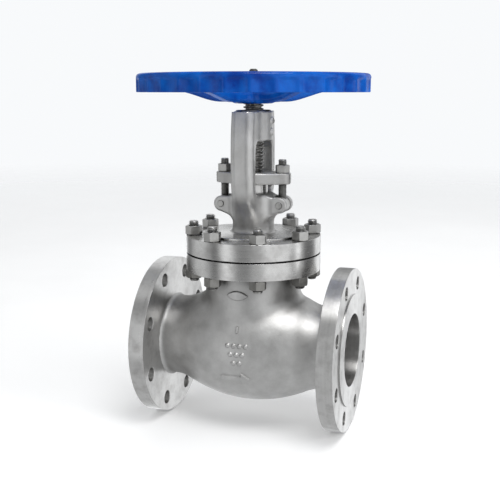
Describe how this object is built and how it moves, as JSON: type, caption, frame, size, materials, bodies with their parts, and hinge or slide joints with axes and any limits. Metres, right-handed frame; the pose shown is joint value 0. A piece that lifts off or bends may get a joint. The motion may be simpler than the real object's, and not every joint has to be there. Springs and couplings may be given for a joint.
{
  "type": "globe valve",
  "caption": "Flanged globe valve with a bolted bonnet, open yoke, rising stem and spoked handwheel, for shutting and throttling pipe flow.",
  "frame": {"origin": "centre of the inlet flange's raised face, on the run's centreline", "axes": "+X along the flow from inlet to outlet, +Z along the stem from the run up to the handwheel"},
  "size_m": [0.32, 0.32, 0.4998],
  "materials": {
    "cast_stainless": "blasted stainless casting",
    "turned_stainless": "turned",
    "fastener_stainless": "rolled and faced fasteners",
    "gland_stainless": "blasted casting with faced edges",
    "oiled_stem": "ground shank with an oiled thread",
    "bronze": "turned bronze",
    "graphite": "pressed graphite",
    "blue_paint": "gloss enamel on a casting"
  },
  "bodies": {
    "valve": {"body": "cast_stainless", "seat_ring": "turned_stainless", "bonnet": "cast_stainless", "bonnet_gasket": "graphite", "bonnet_studs": "fastener_stainless", "bonnet_nuts_upper": "fastener_stainless", "bonnet_nuts_lower": "fastener_stainless", "backseat_bushing": "turned_stainless", "packing_washer": "turned_stainless", "packing_ring_1": "graphite", "packing_ring_2": "graphite", "packing_ring_3": "graphite", "packing_ring_4": "graphite", "packing_ring_5": "graphite", "packing_ring_6": "graphite", "eyebolt_left": "fastener_stainless", "eyebolt_right": "fastener_stainless", "eyebolt_pin_left": "fastener_stainless", "eyebolt_pin_right": "fastener_stainless", "yoke_nut": "bronze", "yoke_nut_set_screw": "fastener_stainless"},
    "disc_carrier": {"disc": "turned_stainless", "disc_thrust_plate": "turned_stainless", "disc_nut": "turned_stainless"},
    "stem_and_wheel": {"stem": "oiled_stem", "handwheel": "blue_paint", "handwheel_washer": "fastener_stainless", "handwheel_nut": "fastener_stainless"},
    "gland": {"gland_follower": "turned_stainless", "gland_flange": "gland_stainless"},
    "gland_nut_left": {"gland_nut_left": "fastener_stainless"},
    "gland_nut_right": {"gland_nut_right": "fastener_stainless"}
  },
  "joints": [
    {"name": "stem_lift", "type": "slide", "parent": "valve", "child": "disc_carrier", "axis": [0, 0, 1], "range_m": [0, 0.03]},
    {"name": "stem_turn", "type": "hinge", "parent": "disc_carrier", "child": "stem_and_wheel", "pos_m": [0.146, 0, 0.367], "axis": [0, 0, 1], "range_deg": [0, 2160]},
    {"name": "gland_adjust", "type": "slide", "parent": "valve", "child": "gland", "axis": [0, 0, -1], "range_m": [0, 0.005], "deforming": ["packing_ring_1", "packing_ring_2", "packing_ring_3", "packing_ring_4", "packing_ring_5", "packing_ring_6"]},
    {"name": "gland_nut_left_turn", "type": "hinge", "parent": "gland", "child": "gland_nut_left", "pos_m": [0.1036, 0, 0.25], "axis": [0, 0, -1], "range_deg": [0, 1029]},
    {"name": "gland_nut_right_turn", "type": "hinge", "parent": "gland", "child": "gland_nut_right", "pos_m": [0.1884, 0, 0.25], "axis": [0, 0, -1], "range_deg": [0, 1029]}
  ],
  "couplings": [
    {"joint": "stem_lift", "follows": "stem_turn", "m_per_rad": 0.00079577},
    {"joint": "gland_nut_left_turn", "follows": "gland_adjust", "rad_per_m": 3590.4},
    {"joint": "gland_nut_right_turn", "follows": "gland_adjust", "rad_per_m": 3590.4}
  ]
}
